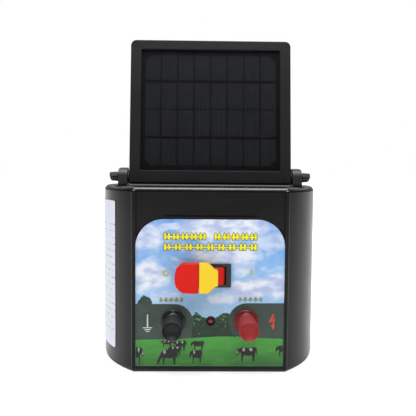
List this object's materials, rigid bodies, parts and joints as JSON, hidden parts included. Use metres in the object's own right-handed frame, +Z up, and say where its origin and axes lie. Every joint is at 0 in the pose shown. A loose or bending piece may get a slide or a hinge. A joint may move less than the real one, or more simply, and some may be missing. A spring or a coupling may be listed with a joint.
{
  "type": "fence energizer",
  "caption": "Solar electric fence energizer: round-sided case with tilting solar panel, lever switch, lamp and two screw terminals.",
  "frame": {"origin": "on the base plate's flat underside, at the centre of the round sides in plan", "axes": "+Z up, the flat front with the label faces -Y, +X to the right as seen from the front"},
  "size_m": [0.2166, 0.2008, 0.3135],
  "materials": {
    "case": "glossy black moulding",
    "case_rear": "glossy black moulding",
    "gasket": "matte black",
    "base": "satin black",
    "label": "printed landscape, satin film",
    "sticker": "white, satin film",
    "grommet": "matte black",
    "switch_black": "satin black",
    "steel": "bright",
    "lever_red": "satin red",
    "grip_yellow": "satin yellow",
    "key_red": "satin red",
    "lamp_black": "black",
    "lamp_red": "dark red, clear",
    "board": "green",
    "ferrite": "dark grey",
    "thyristor_black": "black",
    "fuse_glass": "clear with bright caps",
    "core_steel": "dark laminations",
    "coil_copper": "lacquered copper",
    "capacitor_blue": "blue sleeve",
    "battery_grey": "dark grey",
    "lead_black": "black",
    "lead_red": "red",
    "lead_green": "green",
    "panel_black": "fine grained, dark grey",
    "panel_back": "satin black",
    "panel_glass": "clear, slightly grey",
    "cells": "near black silicon",
    "gland": "matte black",
    "earth_collar": "satin",
    "earth_knob": "satin",
    "fence_collar": "satin",
    "fence_knob": "satin",
    "thumbscrew": "satin black",
    "brass": "bright"
  },
  "bodies": {
    "case": {"housing_front": "case", "housing_rear": "case_rear", "seam_gasket": "gasket", "base_plate": "base", "cable_grommet": "grommet", "base_screw_1": "steel", "base_screw_2": "steel", "base_screw_3": "steel", "base_screw_4": "steel", "case_screw_1": "steel", "case_screw_2": "steel", "case_screw_3": "steel", "case_screw_4": "steel", "front_label": "label", "side_sticker": "sticker", "switch_housing": "switch_black", "switch_blade_1": "brass", "switch_blade_2": "brass", "switch_pin": "steel", "lamp_bezel": "lamp_black", "lamp_lens": "lamp_red", "earth_collar": "earth_collar", "earth_stud": "steel", "earth_washer": "steel", "earth_nut": "brass", "fence_collar": "fence_collar", "fence_stud": "steel", "fence_washer": "steel", "fence_nut": "brass", "circuit_board": "board", "inverter_transformer": "ferrite", "thyristor": "thyristor_black", "fuse": "fuse_glass", "pulse_core": "core_steel", "pulse_coil": "coil_copper", "storage_capacitor": "capacitor_blue", "battery": "battery_grey", "battery_tab_1": "brass", "battery_tab_2": "brass", "battery_strap": "steel", "battery_lead_black": "lead_black", "battery_lead_red": "lead_red", "earth_lead": "lead_green", "fence_lead": "lead_red", "friction_washer_left": "gasket", "friction_washer_right": "gasket"},
    "panel": {"panel_frame": "panel_black", "panel_back": "panel_back", "panel_glass": "panel_glass", "panel_cells": "cells", "panel_gland": "gland", "hinge_insert_left": "brass", "hinge_insert_right": "brass"},
    "thumbscrew_left": {"thumbscrew_left": "thumbscrew"},
    "thumbscrew_right": {"thumbscrew_right": "thumbscrew"},
    "lever": {"switch_lever": "lever_red", "switch_grip": "grip_yellow"},
    "key": {"safety_key": "key_red"},
    "earth_knob": {"earth_knob": "earth_knob"},
    "fence_knob": {"fence_knob": "fence_knob"}
  },
  "joints": [
    {"name": "panel_tilt", "type": "hinge", "parent": "case", "child": "panel", "pos_m": [0, -0.04, 0.1797], "axis": [1, 0, 0], "range_deg": [-82, 7]},
    {"name": "thumbscrew_left_turn", "type": "hinge", "parent": "panel", "child": "thumbscrew_left", "pos_m": [-0.093, -0.04, 0.1797], "axis": [-1, 0, 0], "range_deg": [0, 360]},
    {"name": "thumbscrew_right_turn", "type": "hinge", "parent": "panel", "child": "thumbscrew_right", "pos_m": [0.093, -0.04, 0.1797], "axis": [1, 0, 0], "range_deg": [0, 360]},
    {"name": "lever_swing", "type": "hinge", "parent": "case", "child": "lever", "pos_m": [0.0055, -0.082, 0.0904], "axis": [0, 0, 1], "range_deg": [0, 40]},
    {"name": "key_pull", "type": "slide", "parent": "lever", "child": "key", "axis": [-1, 0, 0], "range_m": [0, 0.018]},
    {"name": "earth_knob_turn", "type": "hinge", "parent": "case", "child": "earth_knob", "pos_m": [-0.0335, -0.1, 0.0474], "axis": [0, -1, 0], "range_deg": [0, 720]},
    {"name": "fence_knob_turn", "type": "hinge", "parent": "case", "child": "fence_knob", "pos_m": [0.0335, -0.1, 0.0474], "axis": [0, -1, 0], "range_deg": [0, 720]}
  ]
}
